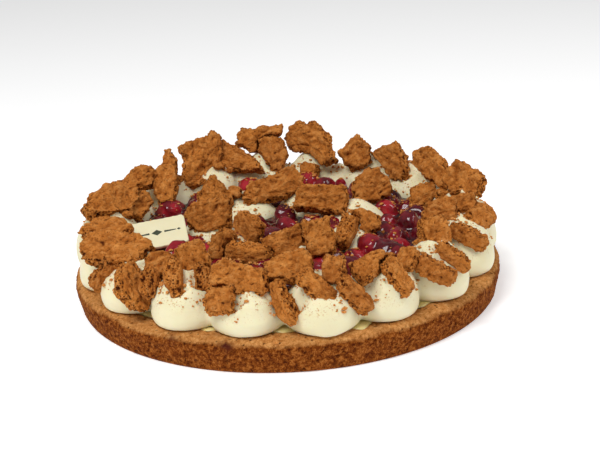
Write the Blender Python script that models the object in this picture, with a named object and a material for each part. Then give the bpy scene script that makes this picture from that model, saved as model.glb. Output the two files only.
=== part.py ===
"""Cherry cream tart, 28 cm across: a shortcrust base with a low rim, a skin of custard, cherries in thick
juice, two rings of piped whipped cream, broken spiced-biscuit pieces pushed into the cream, and a white
chocolate plaque. The origin is the middle of the base's flat underside, +Z is up, and -Y is the side that
faces the viewer. Nothing on the tart moves."""

import math
import random

import bmesh
import bpy
from mathutils import Matrix, Vector
from mathutils.bvhtree import BVHTree

MM = 0.001

# The gap that touching pieces keep
GAP = 0.35 * MM

# Shortcrust base
BASE_RADIUS = 137.5 * MM
RIM_RADIUS = 140.0 * MM
RIM_HEIGHT = 20.6 * MM
RIM_ROUND = 5.5 * MM
CRUST_CRAG = 0.55 * MM
CUSTARD_RADIUS = 126.0 * MM
CUSTARD_DEPTH = 5.0 * MM
TURNED_SEGMENTS = 48

# Piped cream: a border ring and an inner ring of kisses. The biscuit laid on the viewer's side pressed the
# kisses there flatter, by PRESSED of their height. A kiss bulges to at most UNEVEN of its radius
CREAM_FLOOR = RIM_HEIGHT + GAP
CREAM_SEGMENTS = 10
PRESSED = 0.16
UNEVEN = 1.04
BORDER = {
    "count": 18,
    "first": 258.3,
    "ring": 116.5,
    "middle": (0, 0),
    "radius": 22.4,
    "tall": 39.5,
    "seed": 4,
}
INNER = {
    "count": 7,
    "first": 278.0,
    "ring": 50.0,
    "middle": (0, -4),
    "radius": 22.6,
    "tall": 33.0,
    "seed": 9,
}

# A kiss in outline, as shares of its height and of its radius, from its foot to just under its tip
KISS_OUTLINE = ((0.0, 0.95), (0.26, 1.0), (0.58, 0.84), (0.87, 0.40))

# On the far side, between these two headings, the biscuit squeezed cream up between the kisses: a low dome
# between each two of them, as shares of their radius and height
SQUEEZED = (40.0, 140.0)
SQUEEZED_RADIUS = 0.80
SQUEEZED_TALL = 0.74

# Cherries in juice: a ring between the two rings of cream, and a pool in the middle. The juice starts from a
# circle and spreads until it meets the cream
JUICE_TOP = 39.0 * MM
JUICE_STEPS = 40
JUICE_STRIDE = 0.5 * MM
RING_START = 82.0 * MM
POOL_START = 21.0 * MM
INNERMOST = 20.0 * MM
OUTERMOST = 98.0 * MM

# The cherries that stand out of the juice, in rows of radius, count and turn of the first one
CHERRY_RADIUS = 9.0 * MM
CHERRY_SEGMENTS = 7
CHERRY_RINGS = 4
RING_OF_CHERRIES = ((71.0, 6, 20.0), (81.0, 10, 30.0), (91.0, 15, 8.0))
POOL_OF_CHERRIES = ((0.0, 1, 0.0), (19.0, 5, 20.0))
RING_SEED = 21
POOL_SEED = 33

# White chocolate plaque: length, width and thickness, its middle, and how it lies (heading, dip, roll)
PLAQUE_SIZE = (38.0, 26.0, 2.4)
PLAQUE_PLACE = (-82.5, -25.5, 48.0)
PLAQUE_TURN = (8.0, -6.0, 23.0)
PLAQUE_CORNER = 1.5

# Broken biscuit. Its plain outline is a rectangle with this many uneven corners
SLAB_POINTS = 8
SLAB_SQUARENESS = 5.0
SLAB_EDGE = 1.6 * MM

# Outlines of the larger pieces that stand out, from the leading end round by the upper side, as shares of
# half the length and half the width
OUTLINES = {
    "back_a": ((0.9, 0.0), (0.75, 0.7), (0.15, 0.95), (-0.55, 0.8), (-1.0, 0.3), (-1.0, -0.6), (0.0, -0.9),
               (0.6, -0.8)),
    "back_b": ((0.9, -0.2), (0.7, 0.9), (-0.1, 1.0), (-0.65, 0.9), (-1.05, 0.3), (-1.05, -0.2), (-0.6, -0.2),
               (-0.35, -0.8), (0.25, -0.95)),
    "back_c": ((0.9, -0.1), (1.05, 0.6), (0.85, 0.95), (0.3, 0.85), (-0.7, 0.8), (-0.65, 0.2), (-1.15, -0.75),
               (-0.6, -0.95), (0.1, -0.75)),
    "back_d": ((1.0, 0.05), (0.3, 0.75), (-0.45, 1.0), (-0.85, 1.1), (-1.1, 0.6), (-0.9, -0.4), (-0.5, -0.95),
               (0.1, -0.6), (0.6, -0.35)),
    "back_e": ((0.95, 0.1), (1.1, 0.8), (0.4, 0.8), (-0.15, 0.7), (-0.8, 0.85), (-1.05, -0.1), (-0.5, -0.7),
               (0.6, -0.7)),
    "back_f": ((0.85, 0.4), (0.05, 0.95), (-0.8, 0.7), (-0.95, 0.0), (-0.75, -0.8), (-0.2, -0.95),
               (0.4, -0.5), (0.8, -0.2)),
    "back_g": ((1.15, -0.5), (0.55, 0.6), (-0.1, 1.0), (-0.4, 0.6), (-0.65, 0.8), (-0.9, 0.4), (-1.0, -0.1),
               (-0.8, -0.45), (0.15, -0.5), (0.85, -0.8)),
    "back_i": ((0.95, 0.1), (0.45, 1.0), (-0.5, 0.4), (-0.9, 0.15), (-0.7, -0.6), (-0.3, -1.0), (0.4, -1.1),
               (0.8, -0.8)),
    "back_j": ((0.95, 0.3), (0.3, 1.0), (-0.5, 1.3), (-0.7, 0.9), (-0.95, 0.4), (-1.2, -0.35), (-0.2, -0.4),
               (0.7, -0.6), (1.2, -0.2)),
    "back_k": ((0.75, 0.1), (0.3, 0.6), (-0.4, 0.85), (-0.85, 0.7), (-1.05, 0.35), (-0.95, -0.3),
               (-0.35, -0.5), (0.2, -0.7), (0.8, -0.9), (1.0, -0.45)),
    "right_b": ((1.0, 0.35), (0.65, 0.7), (0.3, 0.65), (0.0, 0.9), (-0.55, 1.0), (-0.85, 0.5), (-1.0, -0.2),
                (-0.5, -0.85), (0.25, -0.9), (1.0, -0.8)),
    "left_g": ((0.7, -0.45), (1.0, 0.15), (1.05, 0.75), (0.45, 0.8), (-0.05, 0.85), (-0.5, 0.8), (-1.1, 0.45),
               (-1.1, 0.0), (-0.65, -0.5), (0.0, -0.75)),
    "middle_c": ((0.85, -0.2), (0.5, 0.35), (0.25, 0.9), (-0.35, 0.6), (-0.75, 0.3), (-1.0, -0.35),
                 (-0.4, -0.8), (0.65, -0.8)),
}

# The biscuit pieces in the order in which they were laid, so that a later one lies on those before it.
# Columns: name, x, y and z of the middle, length, width, thickness, heading of the length, dip of its
# leading end, and roll about the length. Millimetres and degrees. Heading 0 is +X, and a roll above 0
# tips the crust face towards the viewer.
BISCUITS = (
    ("middle_a", 26, 15, 52, 40, 21, 12, -16, 0, 55),
    ("middle_b", -6, 41, 54, 52, 21, 11, 19, -9, 50),
    ("middle_c", -48, 30, 55, 29, 30, 11, 23, -9, 65),
    ("middle_d", -49, -7, 51, 33, 28, 11, -8, -7, 60),
    ("middle_e", 59, 34, 54, 28, 25, 10, 25, -9, 60),
    ("middle_f", -23, -37, 53, 28, 17, 9, -61, 13, 70),
    ("middle_g", -2, -53, 48, 28, 20, 10, 16, -14, 60),
    ("middle_h", 20, -58, 51, 22, 26, 12, 7, -6, 65),
    ("middle_i", 51, -30, 52, 22, 15, 8, -37, 17, 45),
    ("middle_j", 38, -39, 47, 30, 12, 11, -115, 29, 0),
    ("back_a", -98, 54, 62, 21, 20, 10, 14, 0, 55),
    ("back_b", -83, 56, 58, 50, 19, 9, -93, 40, 0),
    ("back_c", -60, 101, 60, 37, 36, 11, 28, -10, 65),
    ("back_d", -33, 104, 55, 47, 23, 10, -35, 10, 50),
    ("back_e", -16, 120, 67, 34, 25, 10, 1, -4, 60),
    ("back_f", -7, 112, 57, 34, 24, 9, -82, 61, 0),
    ("back_g", 21, 114, 65, 48, 35, 10, -42, 2, 65),
    ("back_h", 20, 96, 48, 14, 14, 10, -22, 0, 50),
    ("back_i", 52, 93, 62, 28, 26, 10, 7, -10, 60),
    ("back_j", 78, 77, 56, 35, 24, 9, -59, 20, 60),
    ("back_k", 104, 41, 62, 42, 29, 10, -55, 5, 55),
    ("right_a", 94, 29, 47, 20, 18, 10, 1, -3, 50),
    ("right_b", 120, 11, 62, 30, 25, 10, -35, 2, 50),
    ("right_c", 116, -13, 53, 19, 18, 11, 5, 0, 50),
    ("right_d", 97, -37, 56, 25, 21, 10, 10, -4, 45),
    ("right_e", 123, -32, 50, 27, 18, 11, 49, 0, 50),
    ("right_f", 89, -65, 53, 23, 23, 13, 17, -6, 60),
    ("right_g", 112, -60, 48, 28, 10, 10, -22, 27, 0),
    ("right_h", 98, -90, 47, 26, 9, 9, -20, 36, 0),
    ("right_i", 84, -100, 44, 30, 11, 10, -12, 27, 0),
    ("right_j", 69, -100, 51, 20, 14, 7, -121, 27, 0),
    ("front_a", 46, -112, 52, 27, 15, 10, 29, -14, 30),
    ("front_b", 62, -116, 45, 26, 12, 10, -30, 58, 0),
    ("front_c", 37, -126, 40, 28, 13, 10, -10, 50, 0),
    ("front_d", 26, -114, 51, 17, 18, 12, -8, 0, 60),
    ("front_e", 16, -126, 46, 27, 13, 10, -10, 48, 0),
    ("front_f", 0, -110, 53, 31, 21, 10, 17, -8, 45),
    ("front_g", -3, -128, 38, 30, 11, 9, -50, 54, 0),
    ("front_h", -28, -115, 50, 40, 21, 10, -23, 10, 45),
    ("front_i", -39, -125, 41, 18, 18, 12, -8, 0, 60),
    ("front_j", -50, -103, 45, 22, 11, 10, -89, 47, 0),
    ("front_k", -66, -106, 47, 30, 12, 10, -82, 55, 0),
    ("front_l", -81, -98, 43, 22, 13, 11, -97, 55, 0),
    ("left_a", -92, -94, 40, 32, 22, 9, -37, 60, 0),
    ("left_b", -111, -74, 42, 28, 14, 10, 170, 55, 60),
    ("left_c", -102, -66, 54, 44, 25, 10, -9, 1, 40),
    ("left_d", -75, -82, 48, 24, 17, 10, 9, -17, 35),
    ("left_e", -55, -86, 53, 21, 21, 10, 11, -10, 50),
    ("left_f", -112, -32, 55, 34, 23, 9, -9, 3, 8),
    ("left_g", -112, 9, 59, 45, 34, 11, 53, -3, 35),
    ("left_h", -99, 18, 53, 27, 19, 10, 55, -14, 45),
    ("near_a", -39, -52, 47, 17, 21, 11, -23, 0, 65),
    ("near_b", -23, -64, 46, 32, 12, 11, -24, 0, 10),
)


def clear_scene():
    for old in list(bpy.data.objects):
        bpy.data.objects.remove(old)


def material(name, colour, roughness, metallic=0.0):
    made = bpy.data.materials.new(name)
    made.use_nodes = True
    shader = made.node_tree.nodes["Principled BSDF"]
    shader.inputs["Base Color"].default_value = (*colour, 1.0)
    shader.inputs["Roughness"].default_value = roughness
    shader.inputs["Metallic"].default_value = metallic
    made.diffuse_color = (*colour, 1.0)
    return made


def add_object(name, points, faces, finish):
    mesh = bpy.data.meshes.new(name)
    mesh.from_pydata([tuple(point) for point in points], [], faces)
    mesh.materials.append(finish)
    mesh.update()
    made = bpy.data.objects.new(name, mesh)
    bpy.context.scene.collection.objects.link(made)
    return made


def lathe(rings, segments, jitter=0.0, rng=None, steady=()):
    """Points and faces of a solid turned about Z from (radius, height) rings, the first and last of which
    are closed by a middle point at their own height. Rings in steady keep their exact radius."""
    points = []
    faces = []
    for number, (radius, height) in enumerate(rings):
        for step in range(segments):
            angle = 2.0 * math.pi * step / segments
            reach = radius if number in steady or rng is None else radius + rng.uniform(-jitter, jitter)
            points.append(Vector((reach * math.cos(angle), reach * math.sin(angle), height)))
    for number in range(len(rings) - 1):
        faces += band(number * segments, (number + 1) * segments, segments)
    for ring, upward in ((0, False), (len(rings) - 1, True)):
        middle = len(points)
        points.append(Vector((0.0, 0.0, rings[ring][1])))
        faces += fan(ring * segments, middle, segments, upward)
    return points, faces


def band(lower, upper, segments):
    """Triangles between two rings of points, facing out when the upper ring is further along."""
    faces = []
    for step in range(segments):
        after = (step + 1) % segments
        faces.append((lower + step, lower + after, upper + after))
        faces.append((lower + step, upper + after, upper + step))
    return faces


def fan(start, middle, segments, upward):
    """Triangles that close a ring of points on a middle point."""
    faces = []
    for step in range(segments):
        here = start + step
        after = start + (step + 1) % segments
        faces.append((here, after, middle) if upward else (after, here, middle))
    return faces


def polar(radius, degrees, height=0.0):
    angle = math.radians(degrees)
    return Vector((radius * math.cos(angle), radius * math.sin(angle), height))


def turn(heading, dip, roll):
    return (
        Matrix.Rotation(math.radians(heading), 4, "Z")
        @ Matrix.Rotation(math.radians(dip), 4, "Y")
        @ Matrix.Rotation(math.radians(roll), 4, "X")
    )


def join_with(target, others, operation):
    """One Boolean of target with a collection of others, applied. The others are then removed."""
    group = bpy.data.collections.new("group")
    bpy.context.scene.collection.children.link(group)
    for other in others:
        group.objects.link(other)
        bpy.context.scene.collection.objects.unlink(other)
    change = target.modifiers.new("join", "BOOLEAN")
    change.operation = operation
    change.operand_type = "COLLECTION"
    change.collection = group
    change.solver = "EXACT"
    bpy.context.view_layer.update()
    evaluated = target.evaluated_get(bpy.context.evaluated_depsgraph_get())
    result = bpy.data.meshes.new_from_object(evaluated)
    target.modifiers.clear()
    target.data = result
    for other in others:
        bpy.data.objects.remove(other)
    bpy.data.collections.remove(group)


def keep_largest(target):
    """Drop the loose scraps that a cut leaves, so that the object is one body."""
    shape = bmesh.new()
    shape.from_mesh(target.data)
    shape.verts.ensure_lookup_table()
    left = set(shape.verts)
    bodies = []
    while left:
        body = set()
        waiting = [left.pop()]
        while waiting:
            here = waiting.pop()
            body.add(here)
            for edge in here.link_edges:
                there = edge.other_vert(here)
                if there in left:
                    left.remove(there)
                    waiting.append(there)
        bodies.append(body)
    bodies.sort(key=len, reverse=True)
    for body in bodies[1:]:
        bmesh.ops.delete(shape, geom=list(body), context="VERTS")
    bmesh.ops.dissolve_degenerate(shape, dist=0.01 * MM, edges=list(shape.edges))
    bmesh.ops.triangulate(shape, faces=list(shape.faces))
    shape.to_mesh(target.data)
    shape.free()


def grown(points, faces, extra):
    """The points of a closed shape, each moved out along its normal by extra."""
    shape = bmesh.new()
    made = [shape.verts.new(point) for point in points]
    for face in faces:
        shape.faces.new([made[index] for index in face])
    shape.normal_update()
    result = [vert.co + vert.normal * extra for vert in made]
    shape.free()
    return result


def make_crust():
    rng = random.Random(2)
    floor = RIM_HEIGHT - CUSTARD_DEPTH - GAP
    recess = CUSTARD_RADIUS + GAP
    rings = (
        (BASE_RADIUS - 1.5 * MM, 0.0),
        (BASE_RADIUS, 1.6 * MM),
        (BASE_RADIUS + 1.2 * MM, RIM_HEIGHT * 0.38),
        (RIM_RADIUS, RIM_HEIGHT * 0.72),
        (RIM_RADIUS - 0.8 * MM, RIM_HEIGHT - RIM_ROUND * 0.35),
        (RIM_RADIUS - RIM_ROUND, RIM_HEIGHT),
        (recess + 1.2 * MM, RIM_HEIGHT),
        (recess, RIM_HEIGHT - 1.0 * MM),
        (recess, floor),
    )
    points, faces = lathe(rings, TURNED_SEGMENTS, CRUST_CRAG, rng, steady=(0, 3, 5, 6, 7, 8))
    finish = material("shortcrust", (0.33, 0.13, 0.045), 0.85)
    return add_object("crust", points, faces, finish)


def make_custard():
    floor = RIM_HEIGHT - CUSTARD_DEPTH
    rings = (
        (CUSTARD_RADIUS, floor),
        (CUSTARD_RADIUS, RIM_HEIGHT - 0.8 * MM),
        (CUSTARD_RADIUS - 0.8 * MM, RIM_HEIGHT),
    )
    points, faces = lathe(rings, TURNED_SEGMENTS)
    return add_object("custard", points, faces, material("custard", (0.80, 0.52, 0.13), 0.35))


def kiss(radius, tall, lean, rng):
    """One piped kiss standing on z = 0, with its tip moved sideways by lean."""
    rings = [(radius * share * rng.uniform(0.97, 1.03), tall * level) for level, share in KISS_OUTLINE]
    points, faces = lathe(rings, CREAM_SEGMENTS)
    points[-1].z = tall
    return [point + lean * (point.z / tall) ** 2 for point in points], faces


def plan_kisses(plan):
    """Where each kiss of a ring stands, with its radius, its height and how its tip leans."""
    rng = random.Random(plan["seed"])
    step = 360.0 / plan["count"]
    middle = Vector((*plan["middle"], 0.0)) * MM
    kisses = []
    for number in range(plan["count"]):
        degrees = plan["first"] + step * number + rng.uniform(-0.8, 0.8)
        place = middle + polar((plan["ring"] + rng.uniform(-1.0, 1.0)) * MM, degrees, CREAM_FLOOR)
        radius = plan["radius"] * rng.uniform(0.98, 1.05) * MM
        pressed = PRESSED * max(0.0, -math.sin(math.radians(degrees)))
        tall = plan["tall"] * rng.uniform(0.94, 1.04) * (1.0 - pressed) * MM
        lean = polar(rng.uniform(0.0, 3.0) * MM, rng.uniform(0.0, 360.0))
        kisses.append((place, radius, tall, lean))
    return kisses


def squeeze_cream(kisses):
    """The low domes between the kisses on the far side."""
    domes = []
    for (place, radius, tall, lean), (after, _, _, _) in zip(kisses, kisses[1:] + kisses[:1]):
        middle = (place + after) / 2.0
        if SQUEEZED[0] < math.degrees(math.atan2(middle.y, middle.x)) < SQUEEZED[1]:
            domes.append((middle, radius * SQUEEZED_RADIUS, tall * SQUEEZED_TALL, lean))
    return domes


def make_cream(name, kisses, finish):
    rng = random.Random(len(kisses))
    blobs = []
    for place, radius, tall, lean in kisses:
        points, faces = kiss(radius, tall, lean, rng)
        spin = Matrix.Rotation(rng.uniform(0.0, math.tau), 4, "Z")
        blobs.append(add_object(name, [spin @ point + place for point in points], faces, finish))
    join_with(blobs[0], blobs[1:], "UNION")
    blobs[0].name = name
    return blobs[0]


def shore(degrees, near, kisses, way):
    """How far out from near the juice reaches before a kiss of cream stops it, going out (way 1) or in
    (way -1)."""
    reach = near
    while INNERMOST < reach < OUTERMOST:
        spot = polar(reach, degrees)
        if any((spot - place).xy.length < radius * UNEVEN + GAP for place, radius, _, _ in kisses):
            break
        reach += way * JUICE_STRIDE
    return reach


def around(rims, turns):
    """Points of outlines that are each given as the reach at every turn, and a height."""
    points = []
    for reaches, height in rims:
        points += [polar(reach, degrees, height) for reach, degrees in zip(reaches, turns)]
    return points


def make_ring_juice(inner, outer, finish):
    """Thick juice between the two rings of cream."""
    count = JUICE_STEPS
    turns = [360.0 * step / count for step in range(count)]
    far = [shore(degrees, RING_START, outer, 1) for degrees in turns]
    near = [shore(degrees, RING_START, inner, -1) for degrees in turns]
    points = around(((near, CREAM_FLOOR), (far, CREAM_FLOOR), (far, JUICE_TOP), (near, JUICE_TOP)), turns)
    faces = band(0, count, count) + band(count, 2 * count, count)
    faces += band(2 * count, 3 * count, count) + band(3 * count, 0, count)
    return add_object("cherries_ring", points, faces, finish)


def make_pool_juice(inner, finish):
    """Thick juice in the middle, inside the inner ring of cream."""
    count = JUICE_STEPS
    turns = [360.0 * step / count for step in range(count)]
    far = [shore(degrees, POOL_START, inner, 1) for degrees in turns]
    points = around(((far, CREAM_FLOOR), (far, JUICE_TOP)), turns)
    points += [Vector((0.0, 0.0, CREAM_FLOOR)), Vector((0.0, 0.0, JUICE_TOP))]
    faces = band(0, count, count) + fan(0, 2 * count, count, False) + fan(count, 2 * count + 1, count, True)
    return add_object("cherries_middle", points, faces, finish)


def add_cherries(juice, rows, seed):
    """Fuse the cherries that stand out of the juice onto it. Each row has a radius, a count and the turn of
    its first cherry."""
    rng = random.Random(seed)
    finish = juice.data.materials[0]
    fruit = []
    for ring, count, first in rows:
        for number in range(count):
            degrees = first + 360.0 * number / count + rng.uniform(-3.0, 3.0)
            height = JUICE_TOP + rng.uniform(-3.0, 1.5) * MM
            place = polar((ring + rng.uniform(-1.0, 1.0)) * MM, degrees, height)
            fruit.append(cherry(place, CHERRY_RADIUS * rng.uniform(0.92, 1.08), finish, rng))
    join_with(juice, fruit, "UNION")


def cherry(place, radius, finish, rng):
    shape = bmesh.new()
    bmesh.ops.create_uvsphere(shape, u_segments=CHERRY_SEGMENTS, v_segments=CHERRY_RINGS, radius=radius)
    spin = turn(rng.uniform(0.0, 360.0), rng.uniform(0.0, 360.0), 0.0)
    mesh = bpy.data.meshes.new("cherry")
    bmesh.ops.transform(shape, matrix=Matrix.Translation(place) @ spin, verts=shape.verts)
    shape.to_mesh(mesh)
    shape.free()
    mesh.materials.append(finish)
    made = bpy.data.objects.new("cherry", mesh)
    bpy.context.scene.collection.objects.link(made)
    return made


def make_plaque():
    """A thin tablet of white chocolate with cut corners."""
    length, width, thick = (size * MM for size in PLAQUE_SIZE)
    cut = PLAQUE_CORNER * MM
    corners = []
    for across, along in ((1, 1), (-1, 1), (-1, -1), (1, -1)):
        ends = ((length / 2 - cut, width / 2), (length / 2, width / 2 - cut))
        for x, y in ends if across * along < 0 else reversed(ends):
            corners.append((across * x, along * y))
    count = len(corners)
    points = [Vector((x, y, height)) for height in (-thick / 2, thick / 2) for x, y in corners]
    points += [Vector((0.0, 0.0, -thick / 2)), Vector((0.0, 0.0, thick / 2))]
    faces = band(0, count, count) + fan(0, 2 * count, count, False) + fan(count, 2 * count + 1, count, True)
    pose = Matrix.Translation(Vector(PLAQUE_PLACE) * MM) @ turn(*PLAQUE_TURN)
    return [pose @ point for point in points], faces


def plain_outline(rng):
    """Shares of a rectangle with uneven corners and sides."""
    shares = []
    for number in range(SLAB_POINTS):
        angle = 2.0 * math.pi * (number + rng.uniform(-0.25, 0.25)) / SLAB_POINTS
        across = math.cos(angle)
        along = math.sin(angle)
        power = SLAB_SQUARENESS
        reach = (abs(across) ** power + abs(along) ** power) ** (-1.0 / power)
        reach *= rng.uniform(0.80, 1.08)
        shares.append((across * reach, along * reach))
    return shares


def slab(outline, thick, rng):
    """Points and faces of one broken biscuit piece, centred on the origin, with its crust face up."""
    levels = ((-0.5, SLAB_EDGE), (-0.2, 0.0), (0.22, 0.0), (0.5, SLAB_EDGE))
    points = []
    for level, inset in levels:
        for corner in outline:
            bump = rng.uniform(-0.10, 0.10) * thick if abs(level) == 0.5 else 0.0
            share = 1.0 - min(inset / corner.length, 0.16)
            spot = corner * share * rng.uniform(0.95, 1.0)
            points.append(spot + Vector((0.0, 0.0, level * thick + bump)))
    for corner in outline:
        rise = rng.uniform(-0.12, 0.12) * thick
        spot = corner * 0.45 * rng.uniform(0.85, 1.15)
        points.append(spot + Vector((0.0, 0.0, thick / 2 + rise)))
    count = len(outline)
    points.append(Vector((0.0, 0.0, -thick / 2)))
    points.append(Vector((0.0, 0.0, thick / 2 + rng.uniform(-0.05, 0.12) * thick)))
    faces = []
    for number in range(len(levels)):
        faces += band(number * count, (number + 1) * count, count)
    faces += fan(0, len(points) - 2, count, False)
    faces += fan(len(levels) * count, len(points) - 1, count, True)
    return points, faces


def socket(outline, thick):
    """The plain prism that a piece presses into what lies under it: its outline, with the gap all round."""
    count = len(outline)
    share = 1.0 + 2.0 * GAP / min(corner.length for corner in outline)
    deep = 0.62 * thick + GAP
    points = [corner * share + Vector((0.0, 0.0, level)) for level in (-deep, deep) for corner in outline]
    points += [Vector((0.0, 0.0, -deep)), Vector((0.0, 0.0, deep))]
    faces = band(0, count, count) + fan(0, 2 * count, count, False) + fan(count, 2 * count + 1, count, True)
    return points, faces


def tree(points, faces):
    return BVHTree.FromPolygons([tuple(point) for point in points], faces)


def make_biscuits(finish):
    """Lay the biscuit pieces. Where two meet, the lower one gives way to the one that lies on it. Returns
    their sockets."""
    pieces = []
    sockets = []
    for number, (name, x, y, z, length, width, thick, heading, dip, roll) in enumerate(BISCUITS):
        rng = random.Random(100 + number)
        shares = OUTLINES.get(name) or plain_outline(rng)
        outline = [Vector((u * length / 2, v * width / 2, 0.0)) * MM for u, v in shares]
        pose = Matrix.Translation(Vector((x, y, z)) * MM) @ turn(heading, dip, roll)
        points, faces = slab(outline, thick * MM, rng)
        pieces.append(add_object("biscuit_" + name, [pose @ point for point in points], faces, finish))
        points, faces = socket(outline, thick * MM)
        sockets.append(([pose @ point for point in points], faces))
    for number, piece in enumerate(pieces):
        here = tree(*shape_of(piece))
        above = [other for other in sockets[number + 1:] if here.overlap(tree(*other))]
        if above:
            cut_round(piece, above)
    return sockets


def cut_round(target, sockets):
    """Cut an object with the sockets of the pieces that press into it."""
    finish = target.data.materials[0]
    join_with(target, [add_object("socket", *shape, finish) for shape in sockets], "DIFFERENCE")
    keep_largest(target)


def shape_of(target):
    points = [vert.co.copy() for vert in target.data.vertices]
    return points, [tuple(face.vertices) for face in target.data.polygons]


def main():
    clear_scene()
    cream = material("whipped_cream", (0.86, 0.82, 0.66), 0.45)
    juice = material("cherries_in_juice", (0.20, 0.01, 0.02), 0.18)
    baked = material("spiced_biscuit", (0.36, 0.14, 0.04), 0.9)
    white = material("white_chocolate", (0.86, 0.80, 0.60), 0.4)

    crust = make_crust()
    custard = make_custard()
    border_plan = plan_kisses(BORDER)
    inner_plan = plan_kisses(INNER)
    border = make_cream("cream_border", border_plan + squeeze_cream(border_plan), cream)
    inner = make_cream("cream_inner", inner_plan, cream)
    ring = make_ring_juice(inner_plan, border_plan, juice)
    add_cherries(ring, RING_OF_CHERRIES, RING_SEED)
    pool = make_pool_juice(inner_plan, juice)
    add_cherries(pool, POOL_OF_CHERRIES, POOL_SEED)
    plaque = make_plaque()
    add_object("plaque", *plaque, white)

    sockets = make_biscuits(baked) + [(grown(*plaque, GAP), plaque[1])]
    creams = [(grown(*shape_of(blob), GAP), shape_of(blob)[1]) for blob in (border, inner)]
    for fruit in (ring, pool):
        cut_round(fruit, creams + sockets)
    for blob in (border, inner):
        cut_round(blob, sockets)


main()
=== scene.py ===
"""Looks of the cherry cream tart: crumbly shortcrust, piped cream, glossy cherries in juice, cracked
pieces of spiced biscuit, a tablet of white chocolate and the crumbs that fell from the biscuit."""

import math
import random

import bmesh
import bpy
import numpy as np
from mathutils import Matrix, Vector, noise
from mathutils.bvhtree import BVHTree


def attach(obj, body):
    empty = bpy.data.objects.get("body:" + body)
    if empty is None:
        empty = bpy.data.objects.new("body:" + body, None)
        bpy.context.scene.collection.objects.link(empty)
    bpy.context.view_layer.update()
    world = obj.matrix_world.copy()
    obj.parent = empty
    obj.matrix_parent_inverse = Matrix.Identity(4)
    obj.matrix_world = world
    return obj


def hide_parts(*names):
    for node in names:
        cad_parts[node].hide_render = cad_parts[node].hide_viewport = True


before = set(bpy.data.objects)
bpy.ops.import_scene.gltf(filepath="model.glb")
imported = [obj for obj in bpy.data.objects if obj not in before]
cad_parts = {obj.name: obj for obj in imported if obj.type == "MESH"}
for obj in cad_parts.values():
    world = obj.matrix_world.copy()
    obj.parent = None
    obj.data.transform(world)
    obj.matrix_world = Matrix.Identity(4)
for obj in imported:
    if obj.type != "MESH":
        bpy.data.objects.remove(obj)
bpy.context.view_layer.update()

MM = 0.001
UP = Vector((0.0, 0.0, 1.0))
DOWN = Vector((0.0, 0.0, -1.0))

# Without a seed of its own, the noise would start from the clock
NOISE_SEED = 11
noise.seed_set(NOISE_SEED)

# Sizes that the solids have too, in millimetres and degrees
BASE_RADIUS = 137.5
RIM_RADIUS = 140.0
RIM_HEIGHT = 20.6
SHOULDER = 5.5
CUSTARD_RADIUS = 126.0
CREAM_FLOOR = 20.95
BORDER = {
    "count": 18,
    "first": 258.3,
    "ring": 116.5,
    "middle": (0, 0),
    "radius": 22.4,
    "tall": 39.5,
    "seed": 4,
}
INNER = {
    "count": 7,
    "first": 278.0,
    "ring": 50.0,
    "middle": (0, -4),
    "radius": 22.6,
    "tall": 33.0,
    "seed": 9,
}

# The share of height that the foremost kisses lose under the biscuit
PRESSED = 0.16

# The headings between which cream was squeezed up between the kisses, and its size beside theirs
SQUEEZED = (40.0, 140.0)
SQUEEZED_RADIUS = 0.80
SQUEEZED_TALL = 0.74

# Juice, and rows of cherries: distance from the middle, how many, and the heading of the first
JUICE_TOP = 39.0
RING_INNER = 58.0
RING_OUTER = 103.0
POOL_OUTER = 38.0
CHERRY_RADIUS = 9.0
RING_OF_CHERRIES = ((71.0, 6, 20.0), (81.0, 10, 30.0), (91.0, 15, 8.0))
POOL_OF_CHERRIES = ((0.0, 1, 0.0), (19.0, 5, 20.0))

PLAQUE_THICK = 2.4
PLAQUE_PLACE = (-82.5, -25.5, 48.0)
PLAQUE_TURN = (8.0, -6.0, 23.0)

# Height in millimetres above every part of the tart
CLEAR_ABOVE = 120.0

# How far a biscuit's crumbs and powder reach, in metres
CRUMB_REACH = 0.016

# Camera: place in metres, angles in degrees, lens and sensor in millimetres
CAMERA_PLACE = (0.0, -0.7498, 0.3028)
CAMERA_AZIMUTH = 0.706
CAMERA_DOWN = 19.295
CAMERA_ROLL = 2.702
CAMERA_LENS = 72.0
CAMERA_SENSOR = 36.0

# The point in metres that the lamps face
LIT_POINT = Vector((0.0, 0.0, 0.03))


# Camera, floor and light


def add_camera():
    azimuth = math.radians(CAMERA_AZIMUTH)
    down = math.radians(CAMERA_DOWN)
    roll = math.radians(CAMERA_ROLL)
    flat = math.cos(down)
    ahead = Vector((math.sin(azimuth) * flat, math.cos(azimuth) * flat, -math.sin(down)))
    level = Vector((math.cos(azimuth), -math.sin(azimuth), 0.0))
    above = level.cross(ahead)
    right = level * math.cos(roll) - above * math.sin(roll)
    up = above * math.cos(roll) + level * math.sin(roll)
    lens = bpy.data.cameras.new("camera")
    lens.lens = CAMERA_LENS
    lens.sensor_width = CAMERA_SENSOR
    camera = bpy.data.objects.new("camera", lens)
    turned = Matrix((right, up, -ahead)).transposed().to_4x4()
    camera.matrix_world = Matrix.Translation(CAMERA_PLACE) @ turned
    bpy.context.scene.collection.objects.link(camera)
    bpy.context.scene.camera = camera


def add_light(name, place, energy, size):
    lamp = bpy.data.lights.new(name, "AREA")
    lamp.energy = energy
    lamp.size = size
    held = bpy.data.objects.new(name, lamp)
    held.location = place
    held.rotation_euler = (LIT_POINT - Vector(place)).to_track_quat("-Z", "Y").to_euler()
    bpy.context.scene.collection.objects.link(held)


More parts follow.
